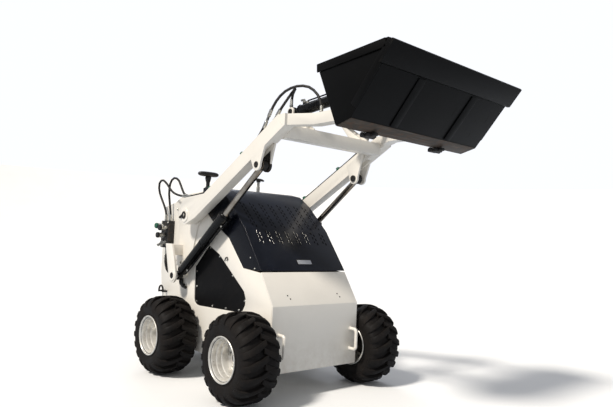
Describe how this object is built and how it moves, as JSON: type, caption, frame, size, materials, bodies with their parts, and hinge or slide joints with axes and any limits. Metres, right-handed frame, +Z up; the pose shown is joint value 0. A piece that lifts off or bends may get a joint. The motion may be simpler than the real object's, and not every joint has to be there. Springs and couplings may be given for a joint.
{
  "type": "compact skid steer loader",
  "caption": "Compact stand-on skid steer loader on wheels: boxy body with sloped hood, twin lift arms raised, hydraulic cylinders and a wide bucket rolled back.",
  "frame": {"origin": "on the ground under the middle of the machine's overall box", "axes": "+X forward towards the bucket, +Y to the machine's left, +Z up"},
  "size_m": [2.3622, 1.13, 1.643],
  "materials": {
    "cream_paint": "semi-gloss sprayed enamel",
    "hood_paint": "semi-gloss blue-black enamel",
    "bucket_paint": "satin black enamel",
    "wear_steel": "black painted wear steel",
    "cylinder_paint": "gloss black enamel",
    "chromed_rod": "hard chrome",
    "black_plastic": "moulded, fine grain",
    "pad_rubber": "moulded, matte",
    "dark_iron": "painted black, satin",
    "zinc_rim": "silver painted",
    "tyre_rubber": "moulded tread rubber",
    "hose_rubber": "smooth extruded rubber cover"
  },
  "bodies": {
    "chassis": {"belly_pan": "cream_paint", "control_console": "cream_paint", "coupler_block": "dark_iron", "engine_block": "dark_iron", "front_left_drive_hub": "dark_iron", "front_panel": "cream_paint", "front_right_drive_hub": "dark_iron", "left_control_lever": "black_plastic", "left_cylinder_lug": "cream_paint", "left_front_handle": "cream_paint", "left_side_frame": "cream_paint", "left_side_grille": "hood_paint", "left_tie_ring": "dark_iron", "left_tower_plate": "cream_paint", "rear_left_drive_hub": "dark_iron", "rear_pad": "pad_rubber", "rear_panel": "cream_paint", "rear_right_drive_hub": "dark_iron", "right_control_lever": "black_plastic", "right_cylinder_lug": "cream_paint", "right_front_handle": "cream_paint", "right_side_frame": "cream_paint", "right_side_grille": "hood_paint", "right_tie_ring": "dark_iron", "right_tower_plate": "cream_paint", "tower_hose_rear": "hose_rubber", "tower_hose_front": "hose_rubber", "cylinder_hose": "hose_rubber"},
    "lift_arms": {"arm_cross_tube": "cream_paint", "left_lift_arm": "cream_paint", "right_lift_arm": "cream_paint", "left_arm_hose_outer": "hose_rubber", "left_arm_hose_inner": "hose_rubber", "right_arm_hose_outer": "hose_rubber", "right_arm_hose_inner": "hose_rubber"},
    "bucket": {"attach_plate": "cream_paint", "bucket_shell": "bucket_paint", "cutting_edge": "wear_steel"},
    "hood": {"hood": "hood_paint"},
    "platform": {"operator_platform": "dark_iron"},
    "left_lift_barrel_body": {"left_lift_barrel": "cylinder_paint"},
    "left_lift_rod_body": {"left_lift_rod": "chromed_rod"},
    "left_tilt_barrel_body": {"left_tilt_barrel": "cylinder_paint"},
    "left_tilt_rod_body": {"left_tilt_rod": "chromed_rod"},
    "front_left_wheel": {"front_left_rim": "zinc_rim", "front_left_tyre": "tyre_rubber"},
    "rear_left_wheel": {"rear_left_rim": "zinc_rim", "rear_left_tyre": "tyre_rubber"},
    "right_lift_barrel_body": {"right_lift_barrel": "cylinder_paint"},
    "right_lift_rod_body": {"right_lift_rod": "chromed_rod"},
    "right_tilt_barrel_body": {"right_tilt_barrel": "cylinder_paint"},
    "right_tilt_rod_body": {"right_tilt_rod": "chromed_rod"},
    "front_right_wheel": {"front_right_rim": "zinc_rim", "front_right_tyre": "tyre_rubber"},
    "rear_right_wheel": {"rear_right_rim": "zinc_rim", "rear_right_tyre": "tyre_rubber"}
  },
  "joints": [
    {"name": "lift", "type": "hinge", "parent": "chassis", "child": "lift_arms", "pos_m": [-0.4975, 0, 0.948], "axis": [0, -1, 0], "range_deg": [-54.4, 24]},
    {"name": "bucket_tilt", "type": "hinge", "parent": "lift_arms", "child": "bucket", "pos_m": [0.7785, 0, 1.395], "axis": [0, 1, 0], "range_deg": [-15, 95]},
    {"name": "hood_open", "type": "hinge", "parent": "chassis", "child": "hood", "pos_m": [0.1795, 0, 0.651], "axis": [0, 1, 0], "range_deg": [0, 45]},
    {"name": "platform_fold", "type": "hinge", "parent": "chassis", "child": "platform", "pos_m": [-0.8665, 0, 0.205], "axis": [0, 1, 0], "range_deg": [0, 90]},
    {"name": "left_lift_swing", "type": "hinge", "parent": "chassis", "child": "left_lift_barrel_body", "pos_m": [-0.6045, 0.355, 0.576], "axis": [0, -1, 0], "range_deg": [-42, 18.5]},
    {"name": "left_lift_stroke", "type": "slide", "parent": "left_lift_barrel_body", "child": "left_lift_rod_body", "axis": [0.7902, 0, 0.6128], "range_m": [-0.25, 0.112]},
    {"name": "left_tilt_swing", "type": "hinge", "parent": "lift_arms", "child": "left_tilt_barrel_body", "pos_m": [0.2635, 0.2, 1.507], "axis": [0, 1, 0], "range_deg": [-1.2, 6]},
    {"name": "left_tilt_stroke", "type": "slide", "parent": "left_tilt_barrel_body", "child": "left_tilt_rod_body", "axis": [0.9967, 0, 0.0815], "range_m": [-0.042, 0.255]},
    {"name": "front_left_wheel_spin", "type": "hinge", "parent": "chassis", "child": "front_left_wheel", "pos_m": [0.2155, 0.445, 0.2285], "axis": [0, 1, 0], "continuous": true},
    {"name": "rear_left_wheel_spin", "type": "hinge", "parent": "chassis", "child": "rear_left_wheel", "pos_m": [-0.5685, 0.445, 0.2285], "axis": [0, 1, 0], "continuous": true},
    {"name": "right_lift_swing", "type": "hinge", "parent": "chassis", "child": "right_lift_barrel_body", "pos_m": [-0.6045, -0.355, 0.576], "axis": [0, -1, 0], "range_deg": [-42, 18.5]},
    {"name": "right_lift_stroke", "type": "slide", "parent": "right_lift_barrel_body", "child": "right_lift_rod_body", "axis": [0.7902, 0, 0.6128], "range_m": [-0.25, 0.112]},
    {"name": "right_tilt_swing", "type": "hinge", "parent": "lift_arms", "child": "right_tilt_barrel_body", "pos_m": [0.2635, -0.2, 1.507], "axis": [0, 1, 0], "range_deg": [-1.2, 6]},
    {"name": "right_tilt_stroke", "type": "slide", "parent": "right_tilt_barrel_body", "child": "right_tilt_rod_body", "axis": [0.9967, 0, 0.0815], "range_m": [-0.042, 0.255]},
    {"name": "front_right_wheel_spin", "type": "hinge", "parent": "chassis", "child": "front_right_wheel", "pos_m": [0.2155, -0.445, 0.2285], "axis": [0, 1, 0], "continuous": true},
    {"name": "rear_right_wheel_spin", "type": "hinge", "parent": "chassis", "child": "rear_right_wheel", "pos_m": [-0.5685, -0.445, 0.2285], "axis": [0, 1, 0], "continuous": true}
  ],
  "couplings": [
    {"joint": "left_lift_swing", "follows": "lift", "ratio": 0.737},
    {"joint": "left_lift_stroke", "follows": "lift", "m_per_rad": 0.2585},
    {"joint": "left_tilt_swing", "follows": "bucket_tilt", "ratio": 0.0546},
    {"joint": "left_tilt_stroke", "follows": "bucket_tilt", "m_per_rad": 0.1517},
    {"joint": "right_lift_swing", "follows": "lift", "ratio": 0.737},
    {"joint": "right_lift_stroke", "follows": "lift", "m_per_rad": 0.2585},
    {"joint": "right_tilt_swing", "follows": "bucket_tilt", "ratio": 0.0546},
    {"joint": "right_tilt_stroke", "follows": "bucket_tilt", "m_per_rad": 0.1517}
  ]
}
